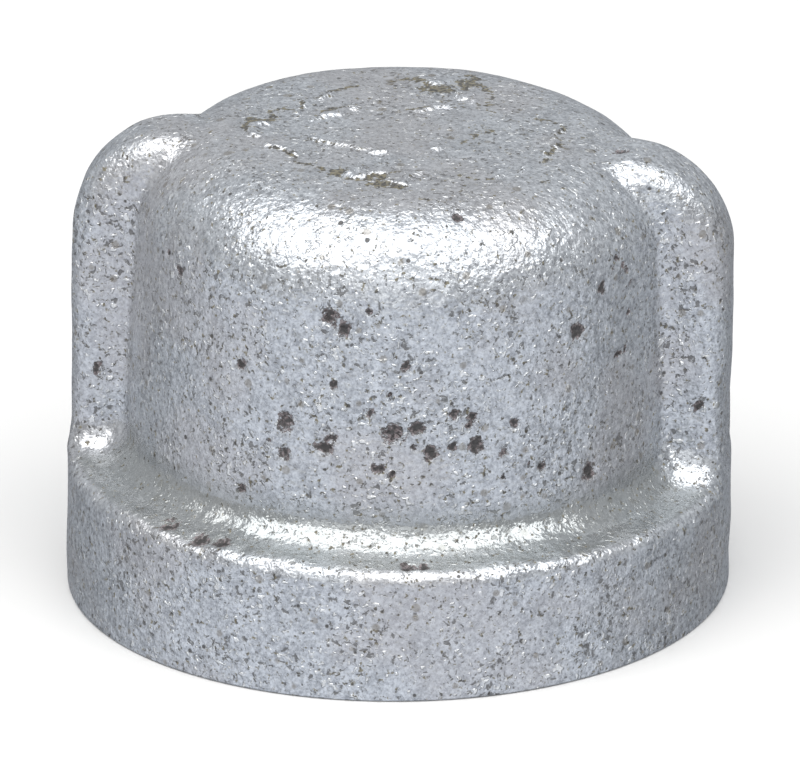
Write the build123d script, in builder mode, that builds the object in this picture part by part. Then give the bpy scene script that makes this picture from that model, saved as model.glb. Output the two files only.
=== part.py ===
from build123d import *

import os
from math import radians, tan

# Banded and ribbed pipe cap: one galvanised malleable-iron casting with a parallel Rp 1/2 female thread.
# The origin is the centre of the mouth's face, +Z runs towards the crown, and the ribs stand on +X and -X.
# All lengths are in millimetres and all angles in degrees.

os.makedirs("parts", exist_ok=True)

# Outside of the casting
band_diameter = 30.8
band_height = 6.2
band_top_edge = 0.6  # rounding over the band's upper outer edge
mouth_outer_edge = 0.1
ledge_slope = 9  # fall of the ledge from the body to the band's edge
ledge_fillet = 1.6
body_base_diameter = 25.8
body_top_diameter = 24.2  # the sides draw in by the moulding draft
crown_radius = 4.2
crown_rise = 0.3  # how far the middle of the crown stands over its rim
overall_height = 22.1

# Two ribs, made as one bar through the body
rib_reach = 15.3
rib_width = 4.8
rib_height = 21.7
rib_corner = 5.0
rib_edge = 1.0
rib_foot_fillet = 0.8

# Thread: 14 turns to the inch, with 55 degree flanks
thread_pitch = 25.4 / 14
thread_major_diameter = 20.955
thread_root_flat = thread_pitch / 6
flank_half_angle = 27.5
bore_diameter = 19.2  # reamed before tapping, which leaves three quarters of the full thread depth
bore_depth = 15.2
washout_depth = 14.4  # the thread has run out to nothing here
lead_angle = 24  # half-angle of the tap's lead, which makes the washout
mouth_chamfer_diameter = 21.8

# Cored pocket past the bore
bore_step = 0.5
pocket_mouth_diameter = 18.2
pocket_floor_diameter = 17.0
pocket_corner = 3.2
crown_thickness = 3.1

band_radius = band_diameter / 2
body_base_radius = body_base_diameter / 2
body_top_radius = body_top_diameter / 2
bore_radius = bore_diameter / 2
mouth_chamfer_radius = mouth_chamfer_diameter / 2
pocket_mouth_radius = pocket_mouth_diameter / 2
pocket_floor_radius = pocket_floor_diameter / 2
pocket_depth = overall_height - crown_thickness
crown_rim = overall_height - crown_rise
ledge_top = band_height + (band_radius - body_base_radius) * tan(radians(ledge_slope))

# The rib bar stands on edge across the axis, with large upper corners and rounded long edges
bar_foot = band_height / 2
with BuildPart() as rib_bar:
    with BuildSketch(Plane.XZ) as bar_side:
        with Locations((0, bar_foot)):
            Rectangle(2 * rib_reach, rib_height - bar_foot, align=(Align.CENTER, Align.MIN))
        fillet(bar_side.vertices().group_by(Axis.Y)[-1], rib_corner)
    extrude(amount=rib_width / 2, both=True)
    side_edges = rib_bar.edges().filter_by(Axis.Y, reverse=True)
    fillet(side_edges.group_by(Axis.Z)[1:], rib_edge)

# The tap's thread is one right-hand helical ridge, cut back by the cone of the tap's lead.
# The ridge starts a little inside the bore's wall, and below the mouth.
ridge_overlap = 0.4
ridge_base_radius = bore_radius - ridge_overlap
ridge_height = thread_major_diameter / 2 - ridge_base_radius
ridge_base_width = thread_root_flat + 2 * ridge_height * tan(radians(flank_half_angle))
tap_start = -0.75 * thread_pitch
lead_base = 2 * tap_start
lead_apex = washout_depth + bore_radius / tan(radians(lead_angle))
lead_radius = (lead_apex - lead_base) * tan(radians(lead_angle))
with BuildPart() as tap_ridge:
    with BuildLine() as tap_helix:
        Helix(thread_pitch, washout_depth - tap_start, ridge_base_radius, center=(0, 0, tap_start))
    ridge_plane = Plane(origin=(ridge_base_radius, 0, tap_start), x_dir=(1, 0, 0), z_dir=(0, -1, 0))
    with BuildSketch(ridge_plane):
        with BuildLine():
            Polyline(
                (0, -ridge_base_width / 2),
                (ridge_height, -thread_root_flat / 2),
                (ridge_height, thread_root_flat / 2),
                (0, ridge_base_width / 2),
                close=True,
            )
        make_face()
    sweep(path=tap_helix.line, is_frenet=True)
    with BuildSketch(Plane.XZ):
        with BuildLine():
            Polyline((0, lead_base), (lead_radius, lead_base), (0, lead_apex), close=True)
        make_face()
    revolve(axis=Axis.Z, mode=Mode.INTERSECT)

with BuildPart() as cap_casting:
    # Band, ledge, body and crown, turned about the axis
    with BuildSketch(Plane.XZ) as outside:
        with BuildLine():
            Polyline(
                (0, overall_height),
                (0, 0),
                (band_radius, 0),
                (band_radius, band_height),
                (body_base_radius, ledge_top),
                (body_top_radius, crown_rim),
            )
            TangentArc((0, overall_height), (body_top_radius, crown_rim), tangent=(1, 0))
        make_face()
        for corner, radius in (
            ((band_radius, 0), mouth_outer_edge),
            ((band_radius, band_height), band_top_edge),
            ((body_base_radius, ledge_top), ledge_fillet),
            ((body_top_radius, crown_rim), crown_radius),
        ):
            fillet(outside.vertices().sort_by_distance(corner)[0], radius)
    revolve(axis=Axis.Z)
    add(rib_bar.part)
    # Concave blends where the ribs meet the body and the crown
    rib_seams = cap_casting.edges().filter_by(GeomType.BSPLINE)
    fillet(rib_seams.filter_by(lambda edge: edge.center().Z > ledge_top), rib_foot_fillet)
    # Reamed bore, and the cored pocket past it
    with BuildSketch(Plane.XZ) as inside:
        with BuildLine():
            Polyline(
                (0, 0),
                (bore_radius, 0),
                (bore_radius, bore_depth),
                (pocket_mouth_radius, bore_depth + bore_step),
                (pocket_floor_radius, pocket_depth),
                (0, pocket_depth),
                close=True,
            )
        make_face()
        floor_corner = inside.vertices().sort_by_distance((pocket_floor_radius, pocket_depth))[0]
        fillet(floor_corner, pocket_corner)
    revolve(axis=Axis.Z, mode=Mode.SUBTRACT)
    add(tap_ridge.part, mode=Mode.SUBTRACT)
    # Mouth chamfer, which leads the pipe in and takes the sharp start off the thread
    with BuildSketch(Plane.XZ):
        with BuildLine():
            Polyline((0, 0), (mouth_chamfer_radius, 0), (0, mouth_chamfer_radius), close=True)
        make_face()
    revolve(axis=Axis.Z, mode=Mode.SUBTRACT)

cap_casting.part.label = "cap_casting"
export_step(cap_casting.part, "parts/cap_casting.step")
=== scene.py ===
import math

import bmesh
import bpy
import numpy as np
from mathutils import Matrix, Vector, noise


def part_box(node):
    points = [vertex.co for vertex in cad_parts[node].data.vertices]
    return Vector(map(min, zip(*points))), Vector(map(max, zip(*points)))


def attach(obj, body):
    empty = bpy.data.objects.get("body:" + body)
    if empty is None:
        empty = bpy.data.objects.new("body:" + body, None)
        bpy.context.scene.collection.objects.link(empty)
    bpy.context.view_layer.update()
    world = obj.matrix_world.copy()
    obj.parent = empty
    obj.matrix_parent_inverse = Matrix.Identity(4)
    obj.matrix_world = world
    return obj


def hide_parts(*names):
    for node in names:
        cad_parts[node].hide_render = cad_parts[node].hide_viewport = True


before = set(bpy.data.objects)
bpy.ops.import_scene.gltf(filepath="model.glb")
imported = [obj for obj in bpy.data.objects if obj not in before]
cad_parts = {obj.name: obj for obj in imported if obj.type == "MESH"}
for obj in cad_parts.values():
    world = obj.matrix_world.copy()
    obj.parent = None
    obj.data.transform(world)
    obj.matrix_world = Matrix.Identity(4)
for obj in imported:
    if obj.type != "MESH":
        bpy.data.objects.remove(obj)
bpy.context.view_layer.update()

# A galvanised malleable-iron pipe cap. The CAD node is one casting, and so is the mesh that stands for it:
# a skin found along rays from the mouth's centre, a threaded bore and a cored pocket, with the lumps and pits
# of a cast surface. Lengths are in metres, worked out from the frame or written as millimetres times MM.

MM = 0.001
NODE = "cap_casting"
node_low, node_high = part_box(NODE)
HEIGHT = node_high.z - node_low.z
BAND_RADIUS = (node_high.x - node_low.x) / 2
MIDDLE = Vector((0, 0, HEIGHT / 2))
SEED = 5

# Outside of the casting
BAND_HEIGHT = 6.2 * MM
BAND_EDGE = 0.6 * MM
MOUTH_EDGE = 0.12 * MM
LEDGE_SLOPE = math.radians(10.5)
LEDGE_FILLET = 1.3 * MM
BODY_BASE_RADIUS = 12.8 * MM
BODY_TOP_RADIUS = 12.1 * MM
CROWN_RADIUS = 4.2 * MM
CROWN_RISE = 0.3 * MM

# The two ribs, the left one towards -X
RIB_REACH = 15.3 * MM
RIB_WIDTH = 4.8 * MM
RIB_HEIGHT = 21.85 * MM  # over the mouth's face, as for the band
RIB_CORNER = 5.0 * MM
RIB_ROOT = 9.0 * MM  # how near to the axis they start, inside the body
RIB_EDGE = 1.1 * MM  # on the upright edges
RIB_TOP_EDGE = 1.5 * MM
RIB_EDGE_START = 2.0 * MM  # height over the band at which its edge has given way to the ribs'
RIB_FILLET = 0.5 * MM
RIB_FOOT_HEIGHT = 1.3 * MM  # over which the ribs' outer faces draw in from the band's side
LEFT_FOOT_FILLET = 1.3 * MM
RIGHT_FOOT_FILLET = 1.82 * MM

# The mouth was faced a little out of square to the casting, so the casting leans towards the camera's right
LEAN = math.radians(1.14)
LEAN_START = 3.1 * MM  # height at which the lean is in full

# Inside of the casting
THREAD_PITCH = 25.4 / 14 * MM
THREAD_RADIUS = 20.955 / 2 * MM
THREAD_ROOT_FLAT = THREAD_PITCH / 6
THREAD_START = 0.5  # height of the first groove's middle at +X, in pitches
FLANK_ANGLE = math.radians(27.5)
BORE_RADIUS = 9.6 * MM
BORE_DEPTH = 15.2 * MM
WASHOUT_DEPTH = 14.4 * MM
LEAD_ANGLE = math.radians(24)
CHAMFER_RADIUS = 10.9 * MM
POCKET_MOUTH_RADIUS = 9.1 * MM
POCKET_START = 15.7 * MM
POCKET_FLOOR_RADIUS = 8.5 * MM
POCKET_CORNER = 3.2 * MM
POCKET_DEPTH = 19.0 * MM
POCKET_MIDDLE = 14.0 * MM  # height of the point on the axis that the pocket's surface faces

# The cast surface. A wavelength is the size of the bumps, and an offset picks a stretch of noise of its own.
LUMPS = (  # height, wavelength, offset
    (0.075 * MM, 5.5 * MM, 3.1),
    (0.045 * MM, 2.0 * MM, 8.4),
    (0.016 * MM, 0.9 * MM, 15.2),
)
BAND_RAGGEDNESS = 0.12 * MM
LEDGE_RIPPLE = 0.04 * MM
RIPPLE_LENGTH = 1.1 * MM
PIT_DEPTH = 0.16 * MM
WRINKLE_HEIGHT = 0.14 * MM
WRINKLE_RINGS = (  # radius, offset, and the level of noise under which the ring is missing
    (5.9 * MM, 0.0, -0.08),
    (3.1 * MM, 9.3, 0.04),
)
WORN_FLATS = (  # degrees round from the camera's side, height, reach
    (-24, -0.22 * MM, 2.2 * MM),
    (1.5, 0.09 * MM, 1.3 * MM),
    (19, -0.05 * MM, 1.7 * MM),
)
RELIEF_START = 1.2 * MM  # height over the mouth's face at which the relief is in full
FINEST_RELIEF = 0.11 * MM  # depth of what is left to the material

# How finely the mesh is divided
SKIN_COLUMNS = 480
SKIN_ROWS = 168
THINNING_RADII = (6.0 * MM, 3.0 * MM, 1.5 * MM)  # inside each of these the skin halves its columns
MOUTH_EDGE_STEPS = 4
RIM_STEPS = 6
BORE_SHARE = 3  # the bore has one column for this many of the skin's
POCKET_STEP = 0.4 * MM
POCKET_THINNING_RADIUS = 4.0 * MM  # inside this the pocket halves its columns
RAY_NEAR = 8 * MM  # inside the casting in every direction
RAY_FAR = 32 * MM  # outside it in every direction
RAY_HALVINGS = 34

# The camera stands this far round from the front, towards +X, and this far above the horizon
CAMERA_TURN = math.radians(6.97)
CAMERA_RISE = math.radians(21.73)
CAMERA_ROLL = math.radians(-0.354)
CAMERA_DISTANCE = 45 * BAND_RADIUS
CAMERA_SHIFT = (0.0040, -0.0399)
BAND_SHARE = 0.83125  # how much of the picture's width the band takes up

# The studio
FLOOR_HALF_WIDTH = 6.0
FLOOR_GAP = 0.02 * MM  # keeps the floor clear of the mouth's face

# Linear colours
ZINC_DARK = (0.325, 0.343, 0.371, 1)
ZINC_PALE = (0.672, 0.706, 0.750, 1)
ZINC_WARM = (0.50, 0.475, 0.475, 1)
# Darker, greener grey laid over the ledge
LEDGE_DARKER_GREY = (0.31, 0.33, 0.328, 1)
# Painted glint: near-white put on the small peaks, standing in for the light they catch
ZINC_PAINTED_GLINT = (0.92, 0.93, 0.92, 1)
DENT = (0.055, 0.052, 0.050, 1)
STAIN = (0.20, 0.17, 0.125, 1)
DIRT_DARK = (0.020, 0.017, 0.012, 1)
DIRT_PALE = (0.14, 0.122, 0.072, 1)
PIT_CORE = (0.022, 0.019, 0.019, 1)
PIT_RIM_DARK = (0.050, 0.040, 0.040, 1)
PIT_RIM_PALE = (0.24, 0.20, 0.21, 1)
IRON_DARK = (0.30, 0.295, 0.29, 1)
IRON_PALE = (0.50, 0.495, 0.48, 1)
FLOOR = (0.76, 0.76, 0.76, 1)


# ---- Distance fields of the outside ----

def rounded_union(first, second, radius):
    """Joins two distance fields with a concave fillet of this radius."""
    near_first = np.maximum(radius - first, 0)
    near_second = np.maximum(radius - second, 0)
    return np.maximum(np.minimum(first, second), radius) - np.hypot(near_first, near_second)


def rounded_overlap(first, second, radius):
    """Keeps what lies inside both distance fields, with the corner rounded to this radius."""
    past_first = np.maximum(radius + first, 0)
    past_second = np.maximum(radius + second, 0)
    return np.minimum(np.maximum(first, second), -radius) + np.hypot(past_first, past_second)


def smooth_step(value, start, end):
    """0 at start, 1 at end, and smooth between. The end may be lower than the start."""
    t = np.clip((value - start) / (end - start), 0, 1)
    return t * t * (3 - 2 * t)


def window(value, start, full, fading, end):
    """1 from full to fading, 0 outside start to end, and smooth between."""
    return smooth_step(value, start, full) * smooth_step(value, end, fading)


def body_distance(r, z):
    """The tapered sides and the domed crown."""
    taper = (BODY_BASE_RADIUS - BODY_TOP_RADIUS) / (HEIGHT - BAND_HEIGHT)
    side = r - BODY_TOP_RADIUS - (HEIGHT - z) * taper
    top = z - HEIGHT + CROWN_RISE * (r / BODY_TOP_RADIUS) ** 2
    return rounded_overlap(side, top, CROWN_RADIUS)


def band_and_ribs_distance(x, y, z):
    """The ledge with the ribs standing on it, cut off by the side that the band and the ribs share."""
    r = np.hypot(x, y)
    ledge = (z - BAND_HEIGHT) * math.cos(LEDGE_SLOPE) - (BAND_RADIUS - r) * math.sin(LEDGE_SLOPE)
    rib = np.maximum(np.abs(y) - RIB_WIDTH / 2, RIB_ROOT - np.abs(x))
    to_right = smooth_step(x, -RIB_ROOT, RIB_ROOT)
    foot_fillet = LEFT_FOOT_FILLET + (RIGHT_FOOT_FILLET - LEFT_FOOT_FILLET) * to_right
    standing = rounded_union(ledge, rib, foot_fillet)
    inset = (BAND_RADIUS - RIB_REACH) * smooth_step(z, BAND_HEIGHT, BAND_HEIGHT + RIB_FOOT_HEIGHT)
    side = rounded_overlap(r - BAND_RADIUS + inset, z - RIB_HEIGHT, RIB_CORNER)
    edge = BAND_EDGE + (RIB_EDGE - BAND_EDGE) * smooth_step(z, BAND_HEIGHT, BAND_HEIGHT + RIB_EDGE_START)
    edge += (RIB_TOP_EDGE - RIB_EDGE) * smooth_step(z, 0.6 * RIB_HEIGHT, 0.85 * RIB_HEIGHT)
    return rounded_overlap(side, standing, edge)


def casting_distance(x, y, z):
    """The whole outside, with the ledge's large fillet low down and the ribs' small one above it."""
    low = smooth_step(z, BAND_HEIGHT + 2 * LEDGE_FILLET, BAND_HEIGHT + LEDGE_FILLET / 2)
    fillet = RIB_FILLET + (LEDGE_FILLET - RIB_FILLET) * low
    return rounded_union(body_distance(np.hypot(x, y), z), band_and_ribs_distance(x, y, z), fillet)


def casting_normals(points):
    """Outward unit normals of the smooth casting at these points."""
    step = 0.02 * MM
    slopes = []
    for axis in range(3):
        shift = np.zeros(3)
        shift[axis] = step
        ahead = casting_distance(*(points + shift).T)
        behind = casting_distance(*(points - shift).T)
        slopes.append(ahead - behind)
    normals = np.stack(slopes, 1)
    return normals / np.linalg.norm(normals, axis=1, keepdims=True)


def along_rays(directions):
    """Where rays from the mouth's centre leave the casting."""
    near = np.full(len(directions), RAY_NEAR)
    far = np.full(len(directions), RAY_FAR)
    for _ in range(RAY_HALVINGS):
        middle = (near + far) / 2
        outside = casting_distance(*(directions * middle[:, None]).T) > 0
        far = np.where(outside, middle, far)
        near = np.where(outside, near, middle)
    return directions * near[:, None]


def towards(x, y, z):
    """The point of the skin in this direction from the mouth's centre."""
    direction = np.array([[x, y, z]])
    return along_rays(direction / np.linalg.norm(direction))[0]


def on_skin(turn, z, radius=BODY_TOP_RADIUS):
    """A point on the skin, turned this many degrees from the camera's side towards +X."""
    angle = math.radians(turn - 90) + CAMERA_TURN
    return towards(radius * math.cos(angle), radius * math.sin(angle), z)


# ---- The mesh, ring by ring ----

def evenly_by_weight(positions, weights, count, closed):
    """Places count values along positions, closer together where the weights are larger."""
    steps = (weights[1:] + weights[:-1]) / 2 * np.diff(positions)
    total = np.concatenate([[0], np.cumsum(steps)])
    shares = np.arange(count) / (count if closed else count - 1)
    return np.interp(shares * total[-1], total, positions)


def column_angles():
    """Angles round the axis, closer together on the sides of the ribs."""
    fine_steps = 7200
    crowding = 3.5
    crowded_width = math.radians(1.7)
    angles = np.linspace(0, math.tau, fine_steps + 1)
    rib_side = math.atan2(RIB_WIDTH / 2, (BODY_TOP_RADIUS + RIB_REACH) / 2)
    weights = np.ones_like(angles)
    for rib in (0, math.pi, math.tau):
        for side in (-rib_side, rib_side):
            weights += crowding * np.exp(-(((angles - rib - side) / crowded_width) ** 2))
    return evenly_by_weight(angles, weights, SKIN_COLUMNS, closed=True)


def row_rises():
    """Angles of the rays above the mouth's face, even along the outline but closer at the band's edge."""
    fine_steps = 4000
    crowding = 1.5
    rises = np.linspace(math.atan2(MOUTH_EDGE, BAND_RADIUS), math.pi / 2, fine_steps + 1)
    directions = np.stack([np.zeros_like(rises), np.cos(rises), np.sin(rises)], 1)
    outline = along_rays(directions)
    lengths = np.linalg.norm(np.diff(outline, axis=0), axis=1) / np.diff(rises)
    weights = np.concatenate([lengths, lengths[-1:]])
    weights *= 1 + crowding * np.exp(-(((outline[:, 2] - BAND_HEIGHT) / BAND_EDGE) ** 2))
    return evenly_by_weight(rises, weights, SKIN_ROWS, closed=False)


class MeshBuilder:
    """Collects rings of points and the faces between them."""

    def __init__(self):
        self.points = []
        self.faces = []
        self.machined = []
        self.count = 0

    def ring(self, points, machined):
        """Adds the points of a ring, and returns their numbers."""
        first = self.count
        self.points.append(points)
        self.machined.append(np.full(len(points), float(machined)))
        self.count += len(points)
        return np.arange(first, self.count)

    def bridge(self, lower, upper):
        """Joins two closed rings. Either may have several times as many points as the other."""
        ratio_lower = max(1, len(lower) // len(upper))
        ratio_upper = max(1, len(upper) // len(lower))
        for i in range(min(len(lower), len(upper))):
            below = [lower[(i * ratio_lower + k) % len(lower)] for k in range(ratio_lower + 1)]
            above = [upper[(i * ratio_upper + k) % len(upper)] for k in range(ratio_upper + 1)]
            self.faces.append([int(v) for v in below + above[::-1]])

    def close(self, ring, tip):
        """Closes a ring onto one point."""
        for i in range(len(ring)):
            self.faces.append([int(ring[i]), int(ring[(i + 1) % len(ring)]), int(tip)])


def skin_rings(mesh, angles, rises):
    """The outside, from just over the mouth's edge to the middle of the crown. Returns the lowest ring."""
    rings = []
    for rise in rises[:-1]:
        level = math.cos(rise)
        from_axis = along_rays(np.array([[0, level, math.sin(rise)]]))[0, 1]
        around = angles[:: 2 ** sum(from_axis < radius for radius in THINNING_RADII)]
        upwards = np.full_like(around, math.sin(rise))
        directions = np.stack([np.cos(around) * level, np.sin(around) * level, upwards], 1)
        rings.append(mesh.ring(along_rays(directions), machined=0))
    for lower, upper in zip(rings, rings[1:]):
        mesh.bridge(lower, upper)
    tip = mesh.ring(along_rays(np.array([[0.0, 0.0, 1.0]])), machined=0)
    mesh.close(rings[-1], tip[0])
    return rings[0]


def turned_ring(mesh, angles, radius, z, machined):
    """A round ring at this radius and height."""
    heights = np.full(len(angles), z)
    return mesh.ring(np.stack([radius * np.cos(angles), radius * np.sin(angles), heights], 1), machined)


def mouth_rings(mesh, angles, skin_edge):
    """The rounded outer edge of the mouth, whose lowest part was cut by the facing, and the faced rim."""
    faced_from = math.radians(60)
    ring = skin_edge
    for turn in np.linspace(0, math.pi / 2, MOUTH_EDGE_STEPS + 1)[1:]:
        radius = BAND_RADIUS - MOUTH_EDGE * (1 - math.cos(turn))
        z = MOUTH_EDGE * (1 - math.sin(turn))
        lower = turned_ring(mesh, angles, radius, z, machined=turn > faced_from)
        mesh.bridge(lower, ring)
        ring = lower
    for radius in np.linspace(BAND_RADIUS - MOUTH_EDGE, CHAMFER_RADIUS, RIM_STEPS + 1)[1:]:
        inner = turned_ring(mesh, angles[::BORE_SHARE], radius, 0.0, machined=1)
        mesh.bridge(inner, ring)
        ring = inner


def bore_radius_at(angles, z):
    """The tapped bore: crests at the reamed size, grooves that run out on a cone, and the mouth's chamfer."""
    phase = (z / THREAD_PITCH - angles / math.tau) % 1
    from_root = np.abs(phase - THREAD_START) * THREAD_PITCH
    thread = THREAD_RADIUS - np.maximum(from_root - THREAD_ROOT_FLAT / 2, 0) / math.tan(FLANK_ANGLE)
    washout = BORE_RADIUS + (WASHOUT_DEPTH - z) * math.tan(LEAD_ANGLE)
    chamfer = CHAMFER_RADIUS - z
    return np.maximum(np.maximum(BORE_RADIUS, chamfer), np.minimum(thread, washout))


def bore_strips(mesh, angles):
    """The thread as one helical strip of rows, wound from the mouth to the end of the bore.
    Rows past either end are held at that end, and merge there."""
    around = np.append(angles, math.tau)
    flank = (THREAD_RADIUS - BORE_RADIUS) * math.tan(FLANK_ANGLE)
    soften = 0.035 * MM
    corners = (THREAD_ROOT_FLAT / 2, THREAD_ROOT_FLAT / 2 + flank)
    offsets = sorted(sign * (c + s) for sign in (-1, 1) for c in corners for s in (-soften, soften))
    turns = range(-2, int(BORE_DEPTH / THREAD_PITCH) + 1)
    levels = [(turn + THREAD_START) * THREAD_PITCH + offset for turn in turns for offset in offsets]
    rows = []
    for level in levels:
        z = np.clip(level + THREAD_PITCH * around / math.tau, 0, BORE_DEPTH)
        radius = bore_radius_at(around, z)
        points = np.stack([radius * np.cos(around), radius * np.sin(around), z], 1)
        points[-1, :2] = radius[-1], 0
        rows.append(mesh.ring(points, machined=1))
    for lower, upper in zip(rows, rows[1:]):
        for i in range(len(angles)):
            corners_of_face = (lower[i], upper[i], upper[i + 1], lower[i + 1])
            mesh.faces.append([int(v) for v in corners_of_face])


def pocket_outline():
    """Points (radius, height) from the end of the bore to near the middle of the pocket's floor."""
    wall = math.atan2(POCKET_MOUTH_RADIUS - POCKET_FLOOR_RADIUS, POCKET_DEPTH - POCKET_START)
    centre_z = POCKET_DEPTH - POCKET_CORNER
    centre_r = POCKET_FLOOR_RADIUS - POCKET_CORNER * (1 - math.sin(wall)) / math.cos(wall)
    corner_steps = int(POCKET_CORNER * (math.pi / 2 - wall) / POCKET_STEP)
    floor_steps = int(centre_r / POCKET_STEP)
    outline = [(BORE_RADIUS, BORE_DEPTH), (POCKET_MOUTH_RADIUS, POCKET_START)]
    for turn in np.linspace(wall, math.pi / 2, corner_steps):
        outline.append((centre_r + POCKET_CORNER * math.cos(turn), centre_z + POCKET_CORNER * math.sin(turn)))
    outline += [(radius, POCKET_DEPTH) for radius in np.linspace(centre_r, 0, floor_steps)[1:-1]]
    return outline


def pocket_rings(mesh, angles):
    """The cored pocket, from the end of the bore to the middle of its floor."""
    ring = None
    for radius, z in pocket_outline():
        step = 2 if radius < POCKET_THINNING_RADIUS else 1
        upper = turned_ring(mesh, angles[::step], radius, z, machined=ring is None)
        if ring is not None:
            mesh.bridge(upper, ring)
        ring = upper
    tip = mesh.ring(np.array([[0.0, 0.0, POCKET_DEPTH]]), machined=0)
    mesh.close(ring[::-1], tip[0])


# ---- The cast surface ----

def noise_at(points, wavelength, offset):
    """Smooth noise in about -1..1 at each point."""
    shift = Vector((offset, offset * 0.7, -offset))
    scaled = points / wavelength
    return np.array([noise.noise(Vector(p) + shift) for p in scaled])


def cast_lumps(points):
    """Height of the sand-cast surface's lumps, the band's ragged edge and the ripples over the ledge."""
    height = np.zeros(len(points))
    for size, wavelength, offset in LUMPS:
        height += size * noise_at(points, wavelength, offset)
    over_band = points[:, 2] - BAND_HEIGHT
    from_side = BAND_RADIUS - np.hypot(points[:, 0], points[:, 1])
    band_edge = window(over_band, -0.9 * MM, -0.3 * MM, 0, 0.6 * MM)
    band_edge *= smooth_step(from_side, 1.4 * MM, 0.6 * MM)
    over_ledge = window(over_band, 0.2 * MM, 0.6 * MM, 1.2 * MM, 2.6 * MM)
    ragged = BAND_RAGGEDNESS * band_edge + LEDGE_RIPPLE * over_ledge
    return height + ragged * noise_at(points, RIPPLE_LENGTH, 27.9)


def wrinkle_ring(flat, ring_radius, offset, gaps):
    """A wandering, broken wrinkle round the axis and the dirt along its outer side, each in 0..1."""
    wander = 2.6 * MM
    raggedness = 0.8 * MM
    dirt_reach = 0.32 * MM
    contour = np.hypot(flat[:, 0], flat[:, 1]) - ring_radius
    contour += wander * noise_at(flat, 4.5 * MM, 21.3 + offset)
    contour += raggedness * noise_at(flat, 1.2 * MM, 33.0 + offset)
    broken = smooth_step(noise_at(flat, 2.0 * MM, 41.7 + offset), gaps, gaps + 0.23)
    stained = smooth_step(noise_at(flat, 2.6 * MM, 54.2 + offset), gaps - 0.12, gaps + 0.13)
    ridge = smooth_step(np.abs(contour), 0.30 * MM, 0.08 * MM) * broken
    dirt = smooth_step(np.abs(contour - dirt_reach), dirt_reach, 0) * stained
    return ridge, dirt


def crown_wrinkles(points):
    """Low broken wrinkles where the zinc ran and set on the crown, and the dirt beside them, each in 0..1."""
    radius = np.hypot(points[:, 0], points[:, 1])
    on_crown = smooth_step(points[:, 2], HEIGHT - 1.0 * MM, HEIGHT - 0.4 * MM)
    on_crown *= smooth_step(radius, 10 * MM, 8 * MM)
    near = on_crown > 0
    wrinkle = np.zeros(len(points))
    dirt = np.zeros(len(points))
    flat = points[near] * [1, 1, 0]
    for ring_radius, offset, gaps in WRINKLE_RINGS:
        ridge, beside = wrinkle_ring(flat, ring_radius, offset, gaps)
        wrinkle[near] = np.maximum(wrinkle[near], ridge * on_crown[near])
        dirt[near] = np.maximum(dirt[near], beside * on_crown[near])
    # One more patch of dirt, far back on the crown
    blotch = on_skin(164, 22.0 * MM, 5.6 * MM)
    away = np.linalg.norm((points - blotch) * [1, 1.6, 1], axis=1)
    return wrinkle, np.maximum(dirt, smooth_step(away, 1.3 * MM, 0.4 * MM))


def worn_corner(points):
    """Height of the broad flats and swells on the crown's corner, which break its highlight into lobes."""
    corner_radius = 10.8 * MM
    corner_height = 20.7 * MM
    height = np.zeros(len(points))
    for turn, rise, reach in WORN_FLATS:
        away = np.linalg.norm(points - on_skin(turn, corner_height, corner_radius), axis=1)
        height += rise * np.exp(-((away / reach) ** 2))
    return height


def pooled_zinc_and_ledge_darkening(points):
    """Where the zinc pooled over the ledge, and where a darker, greener grey is laid over the ledge, fading
    at the ribs' feet, each in 0..1.
    """
    pooled = window(points[:, 2] - BAND_HEIGHT, -0.05 * MM, 0.15 * MM, 1.1 * MM, 2.8 * MM)
    at_foot = smooth_step(np.abs(points[:, 1]), 4.0 * MM, 3.0 * MM)
    return pooled, pooled * (1 - at_foot)


def worn_smooth(points):
    """1 on the corners of the crown and the ribs, which rub against other fittings."""
    return window(points[:, 2], 18.8 * MM, 19.8 * MM, HEIGHT - 0.6 * MM, HEIGHT - 0.2 * MM)


def larger_pits():
    """The pits with places of their own, as (centre, radius)."""
    # Each is degrees round from the camera's side, height and radius in millimetres
    low_on_the_wall = [
        (-2, 11.6, 0.46),
        (3, 11.9, 0.36),
        (6, 10.7, 0.34),
        (15.5, 10.9, 0.36),
        (-16, 10.7, 0.34),
        (-25, 11.7, 0.44),
        (-25, 10.1, 0.30),
        (43, 8.6, 0.44),
    ]
    high_on_the_wall = [(-16, 17.2, 0.42), (-13, 16.6, 0.38), (40, 15.6, 0.42)]
    over_the_corner = [(14, 20.9, 0.26)]
    on_the_ledge = [(-47, 6.2, 0.48), (-39, 6.1, 0.52), (-34, 6.2, 0.40), (1, 6.2, 0.34), (4, 6.2, 0.28)]
    groups = [
        (BODY_TOP_RADIUS, low_on_the_wall + high_on_the_wall),
        (9.5 * MM, over_the_corner),
        (14.2 * MM, on_the_ledge),
    ]
    pits = []
    for from_axis, group in groups:
        pits += [(on_skin(turn, z * MM, from_axis), radius * MM) for turn, z, radius in group]
    # Specks on the ribs, from left to right
    pits += [
        (towards(-13.9 * MM, -2.4 * MM, 10.2 * MM), 0.20 * MM),
        (towards(-13.9 * MM, -2.4 * MM, 10.5 * MM), 0.18 * MM),
        (towards(10.0 * MM, -0.4 * MM, 21.6 * MM), 0.34 * MM),
        (towards(14.1 * MM, -2.4 * MM, 10.2 * MM), 0.26 * MM),
    ]
    return pits


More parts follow.
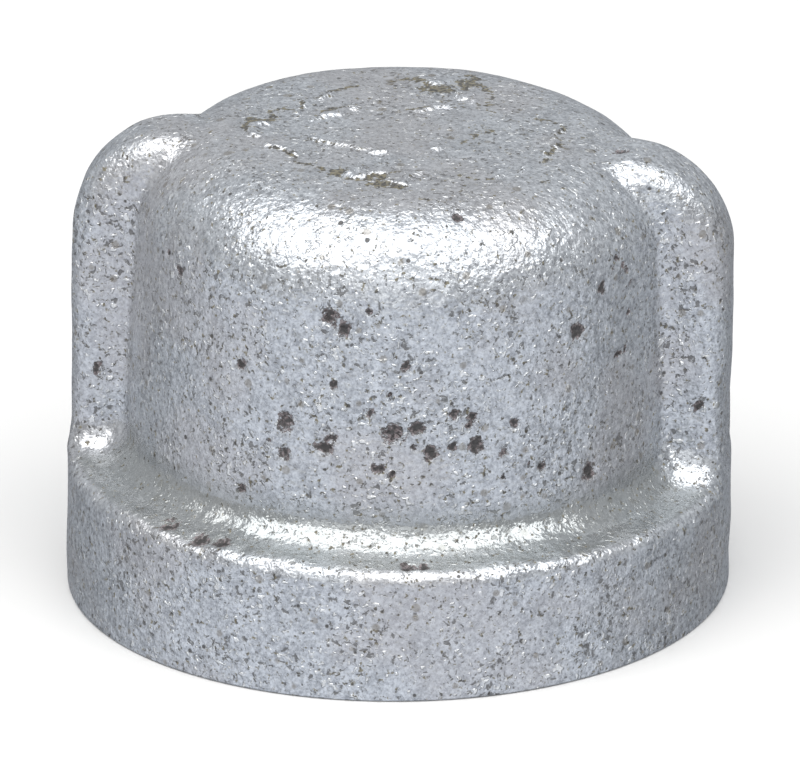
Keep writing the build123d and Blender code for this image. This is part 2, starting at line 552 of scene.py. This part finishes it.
def smaller_pits():
    """Scattered pits, as (centre, radius): some by the right rib, a belt low in front, some all round."""
    rng = np.random.default_rng(SEED)
    pits = []
    for _ in range(9):
        turn = rng.uniform(50, 58)
        z = rng.uniform(13.4, 18.8) * MM
        pits.append((on_skin(turn, z), rng.uniform(0.14, 0.24) * MM))
    for _ in range(18):
        turn = rng.uniform(-30, 34)
        z = rng.normal(10.9, 1.2) * MM
        pits.append((on_skin(turn, z), rng.uniform(0.13, 0.29) * MM))
    for _ in range(16):
        turn = rng.uniform(-180, 180)
        z = rng.uniform(8, 18) * MM
        pits.append((on_skin(turn, z), rng.uniform(0.14, 0.30) * MM))
    return pits


def pit_field(points, pits):
    """1 at the middle of a pit, 0.5 at its edge and 0 well outside it."""
    field = np.zeros(len(points))
    for centre, radius in pits:
        away = np.linalg.norm(points - centre, axis=1)
        field = np.maximum(field, 1 - away / (2 * radius))
    return np.clip(field, 0, 1)


def lean(points):
    """Leans the cast surface towards the camera's right, and leaves the mouth's face where it is."""
    right = np.array([math.cos(CAMERA_TURN), math.sin(CAMERA_TURN)])
    turn = LEAN * np.clip(points[:, 2] / LEAN_START, 0, 1)
    across = points[:, :2] @ right
    z = points[:, 2]
    leaned = across * np.cos(turn) + z * np.sin(turn)
    moved = points.copy()
    moved[:, :2] += (leaned - across)[:, None] * right
    moved[:, 2] = z * np.cos(turn) - across * np.sin(turn)
    return moved


def facing(points, outer, inner):
    """Unit normals of the cast surface outside and in the pocket, and zero on machined points."""
    normals = np.zeros_like(points)
    normals[outer] = casting_normals(points[outer])
    normals[inner] = np.array([0, 0, POCKET_MIDDLE]) - points[inner]
    normals[inner] /= np.linalg.norm(normals[inner], axis=1, keepdims=True)
    return normals


def shape_casting(mesh):
    """Turns the smooth points into the cast surface, and measures what the material needs to know of each.
    Machined points stay exact."""
    points = np.concatenate(mesh.points)
    machined = np.concatenate(mesh.machined)
    radius = np.hypot(points[:, 0], points[:, 1])
    cast = machined < 0.5
    spare = 0.1 * MM
    inner = cast & (radius < POCKET_MOUTH_RADIUS + spare) & (points[:, 2] < POCKET_DEPTH + spare)
    outer = cast & ~inner
    pits = pit_field(points, larger_pits() + smaller_pits())
    wrinkles, dirt = crown_wrinkles(points)
    pooled, ledge_darkening = pooled_zinc_and_ledge_darkening(points)
    height = np.zeros(len(points))
    height[cast] = cast_lumps(points[cast])
    height[outer] -= PIT_DEPTH * smooth_step(pits[outer], 0.35, 0.8)
    height[outer] += WRINKLE_HEIGHT * wrinkles[outer]
    height[outer] += worn_corner(points[outer])
    height *= smooth_step(points[:, 2], 0, RELIEF_START)
    points = points + facing(points, outer, inner) * height[:, None]
    points[cast] = lean(points[cast])
    attributes = {
        "machined": machined,
        "pit": np.where(outer, pits, 0),
        "dirt": np.where(outer, dirt, 0),
        "wrinkle": wrinkles,
        "pooled": pooled,
        "ledge_darkening": ledge_darkening,
        "worn": worn_smooth(points),
    }
    return points, attributes


def make_casting():
    """The whole casting as one closed mesh, with the attributes that its material reads."""
    mesh = MeshBuilder()
    angles = column_angles()
    bore_angles = angles[::BORE_SHARE]
    skin_edge = skin_rings(mesh, angles, row_rises())
    mouth_rings(mesh, angles, skin_edge)
    bore_strips(mesh, bore_angles)
    pocket_rings(mesh, bore_angles)
    points, attributes = shape_casting(mesh)
    data = bpy.data.meshes.new("pipe_cap_casting")
    data.from_pydata(points.tolist(), [], mesh.faces)
    for name, values in attributes.items():
        attribute = data.attributes.new(name, "FLOAT", "POINT")
        attribute.data.foreach_set("value", values.astype(np.float32))
    casting = bpy.data.objects.new("pipe_cap_casting", data)
    bpy.context.scene.collection.objects.link(casting)
    weld(data)
    data.shade_smooth()
    return casting


def weld(data):
    """Merges the points that rings and strips share, and makes every face point outwards."""
    built = bmesh.new()
    built.from_mesh(data)
    bmesh.ops.remove_doubles(built, verts=built.verts, dist=0.001 * MM)
    bmesh.ops.dissolve_degenerate(built, edges=built.edges, dist=0.0005 * MM)
    bmesh.ops.recalc_face_normals(built, faces=built.faces)
    built.to_mesh(data)
    built.free()


# ---- Materials ----

class Nodes:
    """Short names for making shader nodes and joining them. All but add return a socket."""

    def __init__(self, material):
        self.tree = material.node_tree
        self.tree.nodes.clear()

    def add(self, kind, inputs=None, **settings):
        """Makes a node, and returns it."""
        node = self.tree.nodes.new(kind)
        for name, value in settings.items():
            setattr(node, name, value)
        for name, value in (inputs or {}).items():
            socket = node.inputs[name]
            if isinstance(value, bpy.types.NodeSocket):
                self.tree.links.new(value, socket)
            else:
                socket.default_value = value
        return node

    def attribute(self, name):
        return self.add("ShaderNodeAttribute", attribute_name=name).outputs["Fac"]

    def math(self, operation, first, second=0.0, third=0.0):
        inputs = {0: first, 1: second, 2: third}
        return self.add("ShaderNodeMath", inputs, operation=operation).outputs[0]

    def times(self, first, second):
        return self.math("MULTIPLY", first, second)

    def times_plus(self, first, second, third):
        """first * second + third"""
        return self.math("MULTIPLY_ADD", first, second, third)

    def between(self, share, first, second):
        """The first value where share is 0, the second where it is 1."""
        return self.times_plus(self.math("SUBTRACT", second, first), share, first)

    def mix(self, share, first, second):
        """The first colour where share is 0, the second where it is 1."""
        colour_sockets = {0: share, 6: first, 7: second}
        return self.add("ShaderNodeMix", colour_sockets, data_type="RGBA").outputs[2]

    def step(self, value, start, end):
        """0 at start, 1 at end, and smooth between."""
        inputs = {"Value": value, "From Min": start, "From Max": end}
        return self.add("ShaderNodeMapRange", inputs, interpolation_type="SMOOTHSTEP").outputs["Result"]

    def noise(self, place, scale, detail, roughness, distortion=0.0):
        inputs = {
            "Vector": place,
            "Scale": scale,
            "Detail": detail,
            "Roughness": roughness,
            "Distortion": distortion,
        }
        return self.add("ShaderNodeTexNoise", inputs).outputs["Fac"]

    def spots(self, place, scale, size, rarity):
        """1 in small scattered spots of this size (as a share of their spacing), 0 between them."""
        cells = self.add("ShaderNodeTexVoronoi", {"Vector": place, "Scale": scale}, feature="F1")
        chosen = self.add("ShaderNodeSeparateColor", {"Color": cells.outputs["Color"]}).outputs["Red"]
        reach = self.times(self.step(chosen, rarity, 1.0), size)
        return self.step(self.math("SUBTRACT", reach, cells.outputs["Distance"]), -0.04, 0.06)


def clean_zinc(n, place, grain, fine):
    """The zinc's colour before anything marks it: small grain, clouds, and a slow drift to a warmer grey."""
    cloud = n.noise(place, scale=0.9, detail=3.0, roughness=0.6)
    tone = n.times_plus(cloud, 0.22, n.times_plus(grain, 0.50, n.times(fine, 0.28)))
    colour = n.mix(n.step(tone, 0.34, 0.66), ZINC_DARK, ZINC_PALE)
    drift = n.noise(place, scale=0.16, detail=2.0, roughness=0.5)
    return n.mix(n.times(n.step(drift, 0.46, 0.64), 0.35), colour, ZINC_WARM)


def dents_and_painted_glint_peaks(n, place):
    """Small dark dents with pinholes, fewer on worn corners, and raised peaks that also carry a painted
    glint. They gather in patches.
    """
    patchy = n.step(n.noise(place, scale=0.42, detail=2.0, roughness=0.5), 0.36, 0.62)
    lift = n.times_plus(patchy, 0.08, -0.04)
    low = n.noise(place, scale=3.3, detail=2.0, roughness=0.6, distortion=0.4)
    dents = n.step(n.math("SUBTRACT", low, lift), 0.395, 0.31)
    dents = n.times(dents, n.times_plus(n.attribute("worn"), -0.75, 1.0))
    high = n.noise(place, scale=3.3, detail=1.0, roughness=0.5, distortion=0.3)
    peaks_with_painted_glint = n.step(n.math("ADD", high, lift), 0.62, 0.76)
    pinholes = n.spots(place, scale=1.5, size=0.17, rarity=0.5)
    return n.math("MAXIMUM", n.times(dents, 0.72), n.times(pinholes, 0.9)), peaks_with_painted_glint


def crown_dirt(n, place, mottle):
    """Where the brown dirt sits, and its colour."""
    edge = n.noise(place, scale=3.8, detail=2.0, roughness=0.6)
    mask = n.step(n.times_plus(edge, 3.0, n.attribute("dirt")), 1.8, 2.1)
    return mask, n.mix(mottle, DIRT_DARK, DIRT_PALE)


def open_pits(n, place, mottle):
    """Where the pits are, with ragged edges, and their colour, which is darkest in the middle."""
    edge = n.math("SUBTRACT", n.noise(place, scale=2.9, detail=3.0, roughness=0.7), 0.5)
    ragged = n.times_plus(edge, 1.4, n.attribute("pit"))
    rim = n.mix(mottle, PIT_RIM_DARK, PIT_RIM_PALE)
    return n.step(ragged, 0.44, 0.60), n.mix(n.step(ragged, 0.56, 0.80), rim, PIT_CORE)


def zinc_relief(n, place, marks, pooled):
    """The zinc's finest relief: its own, and that of each (mark, height). It is calmer where zinc pooled."""
    relief = n.noise(place, scale=2.3, detail=2.0, roughness=0.55)
    for mark, height in marks:
        relief = n.times_plus(mark, height, relief)
    calm = n.times_plus(pooled, -0.4, 1.0)
    return n.times_plus(n.math("SUBTRACT", relief, 0.5), calm, 0.5)


def zinc_skin(n, place):
    """Colour, dullness, roughness and relief of the galvanised surface, as sockets."""
    grain = n.noise(place, scale=4.2, detail=2.0, roughness=0.65)
    fine = n.noise(place, scale=9.0, detail=1.0, roughness=0.5)
    mottle = n.step(n.noise(place, scale=5.5, detail=1.0, roughness=0.5), 0.40, 0.62)
    stains = n.spots(place, scale=1.1, size=0.24, rarity=0.3)
    dark_spots, peaks_with_painted_glint = dents_and_painted_glint_peaks(n, place)
    dirt_mask, dirt_colour = crown_dirt(n, place, mottle)
    pit_mask, pit_colour = open_pits(n, place, mottle)
    pooled = n.attribute("pooled")
    colour = clean_zinc(n, place, grain, fine)
    colour = n.mix(dark_spots, colour, DENT)
    colour = n.mix(n.times(stains, 0.5), colour, STAIN)
    # Painted glint: the peaks are lightened halfway to near-white, as if they caught the overhead light
    colour = n.mix(n.times(peaks_with_painted_glint, 0.5), colour, ZINC_PAINTED_GLINT)
    # The ledge is laid over with a darker, greener grey, which is left off at the ribs' feet
    colour = n.mix(n.times(n.attribute("ledge_darkening"), 0.65), colour, LEDGE_DARKER_GREY)
    colour = n.mix(n.times(dirt_mask, 0.9), colour, dirt_colour)
    colour = n.mix(n.times(pit_mask, 0.95), colour, pit_colour)
    dull = n.math("MAXIMUM", n.math("MAXIMUM", pit_mask, dirt_mask), n.times(dark_spots, 0.5))
    rough = n.times_plus(grain, 0.2, n.times_plus(dull, 0.3, 0.2))
    rough = n.times_plus(pooled, -0.08, rough)
    wrinkle = n.attribute("wrinkle")
    marks = [(dark_spots, -0.3), (peaks_with_painted_glint, 0.4), (pit_mask, -0.5), (wrinkle, 1.2), (fine, 0.08)]
    return colour, dull, rough, zinc_relief(n, place, marks, pooled)


def turned_iron(n, place):
    """Colour and relief of the machined surfaces, with tool marks that run round the axis, as sockets."""
    axes = n.add("ShaderNodeSeparateXYZ", {0: place})
    y_squared = n.math("POWER", axes.outputs["Y"], 2.0)
    from_axis = n.math("SQRT", n.times_plus(axes.outputs["X"], axes.outputs["X"], y_squared))
    section = n.add("ShaderNodeCombineXYZ", {"X": from_axis, "Y": axes.outputs["Z"]}).outputs[0]
    tool_marks = n.noise(section, scale=14.0, detail=2.0, roughness=0.6)
    return n.mix(n.step(tool_marks, 0.3, 0.7), IRON_DARK, IRON_PALE), n.times(tool_marks, 0.15)


def galvanised_iron():
    """Hot-dip zinc outside and in the pocket, and turned iron where the mouth and thread were cut later."""
    material = bpy.data.materials.new("galvanised_casting")
    material.use_nodes = True
    n = Nodes(material)
    metres = n.add("ShaderNodeTexCoord").outputs["Object"]
    place = n.add("ShaderNodeVectorMath", {0: metres, "Scale": 1 / MM}, operation="SCALE").outputs[0]
    zinc_colour, dull, zinc_rough, zinc_height = zinc_skin(n, place)
    iron_colour, iron_height = turned_iron(n, place)
    machined = n.step(n.attribute("machined"), 0.4, 0.6)
    height = n.between(machined, zinc_height, iron_height)
    bump = n.add("ShaderNodeBump", {"Height": height, "Distance": FINEST_RELIEF, "Strength": 1.0})
    shader = n.add(
        "ShaderNodeBsdfPrincipled",
        {
            "Base Color": n.mix(machined, zinc_colour, iron_colour),
            "Metallic": n.between(machined, n.times_plus(dull, -0.7, 0.7), 1.0),
            "Roughness": n.between(machined, zinc_rough, 0.3),
            "Normal": bump.outputs[0],
        },
    )
    n.add("ShaderNodeOutputMaterial", {"Surface": shader.outputs[0]})
    return material


def floor_material():
    material = bpy.data.materials.new("studio_floor")
    material.use_nodes = True
    n = Nodes(material)
    finish = {"Base Color": FLOOR, "Roughness": 0.9, "Specular IOR Level": 0.1}
    shader = n.add("ShaderNodeBsdfPrincipled", finish)
    n.add("ShaderNodeOutputMaterial", {"Surface": shader.outputs[0]})
    return material


# ---- Stage, lights and camera ----

def make_floor():
    data = bpy.data.meshes.new("studio_floor")
    half = FLOOR_HALF_WIDTH
    corners = [(-half, -half, 0), (half, -half, 0), (half, half, 0), (-half, half, 0)]
    data.from_pydata(corners, [], [(0, 1, 2, 3)])
    floor = bpy.data.objects.new("studio_floor", data)
    bpy.context.scene.collection.objects.link(floor)
    floor.location.z = -FLOOR_GAP
    data.materials.append(floor_material())
    floor.visible_glossy = False


def camera_back():
    """Unit vector from the object to the camera."""
    level = math.cos(CAMERA_RISE)
    return Vector((math.sin(CAMERA_TURN) * level, -math.cos(CAMERA_TURN) * level, math.sin(CAMERA_RISE)))


def make_camera():
    data = bpy.data.cameras.new("camera")
    camera = bpy.data.objects.new("camera", data)
    bpy.context.scene.collection.objects.link(camera)
    data.sensor_width = 36
    data.lens = data.sensor_width * BAND_SHARE * CAMERA_DISTANCE / (2 * BAND_RADIUS)
    data.shift_x, data.shift_y = CAMERA_SHIFT
    data.clip_start = 0.01
    data.clip_end = 20
    back = camera_back()
    camera.location = MIDDLE + back * CAMERA_DISTANCE
    facing_object = (-back).to_track_quat("-Z", "Y").to_matrix()
    camera.rotation_euler = (facing_object @ Matrix.Rotation(CAMERA_ROLL, 3, "Z")).to_euler()
    bpy.context.scene.camera = camera


def softbox(name, place, width, depth, radiance, colour=(1, 1, 1)):
    """A rectangular light that faces the object. Radiance is what its surface shows."""
    data = bpy.data.lights.new(name, "AREA")
    data.shape = "RECTANGLE"
    data.size = width
    data.size_y = depth
    data.energy = radiance * width * depth * math.pi
    data.color = colour
    light = bpy.data.objects.new(name, data)
    light.location = place
    light.rotation_euler = (MIDDLE - Vector(place)).to_track_quat("-Z", "Y").to_euler()
    light.visible_camera = False
    bpy.context.scene.collection.objects.link(light)


def studio_surroundings():
    """Soft surroundings: bright low in front of the object, where a pale table lies, and dim behind it."""
    low_behind = (0.25, 0.265, 0.29, 1)
    low_in_front = (0.87, 0.905, 0.985, 1)
    high_behind = (0.48, 0.495, 0.515, 1)
    high_in_front = (0.40, 0.40, 0.40, 1)
    front_turn = CAMERA_TURN - 0.2  # the brightest part lies a little to the camera's left
    world = bpy.data.worlds.new("studio")
    world.use_nodes = True
    n = Nodes(world)
    direction = n.add("ShaderNodeTexCoord").outputs["Generated"]
    front = {0: direction, 1: (math.sin(front_turn), -math.cos(front_turn), 0)}
    forwards = n.add("ShaderNodeVectorMath", front, operation="DOT_PRODUCT").outputs["Value"]
    rise = n.add("ShaderNodeSeparateXYZ", {0: direction}).outputs["Z"]
    below = n.mix(n.step(forwards, -0.55, 0.6), low_behind, low_in_front)
    above = n.mix(n.step(forwards, -0.5, 0.6), high_behind, high_in_front)
    colour = n.mix(n.step(rise, -0.15, 0.15), below, above)
    background = n.add("ShaderNodeBackground", {"Color": colour})
    n.add("ShaderNodeOutputWorld", {"Surface": background.outputs[0]})
    bpy.context.scene.world = world


def make_lights():
    overhead = (0.0, -0.20, 0.62)
    in_front = (0.0, -0.75, 0.35)
    softbox("overhead", overhead, width=1.3, depth=0.60, radiance=3.0, colour=(1.0, 0.99, 0.97))
    softbox("front_fill", in_front, width=0.8, depth=0.35, radiance=1.0)
    studio_surroundings()


def make_scene():
    casting = make_casting()
    casting.data.materials.append(galvanised_iron())
    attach(casting, "root")
    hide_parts(NODE)
    make_floor()
    make_lights()
    make_camera()
    bpy.context.scene.view_settings.view_transform = "Standard"


make_scene()
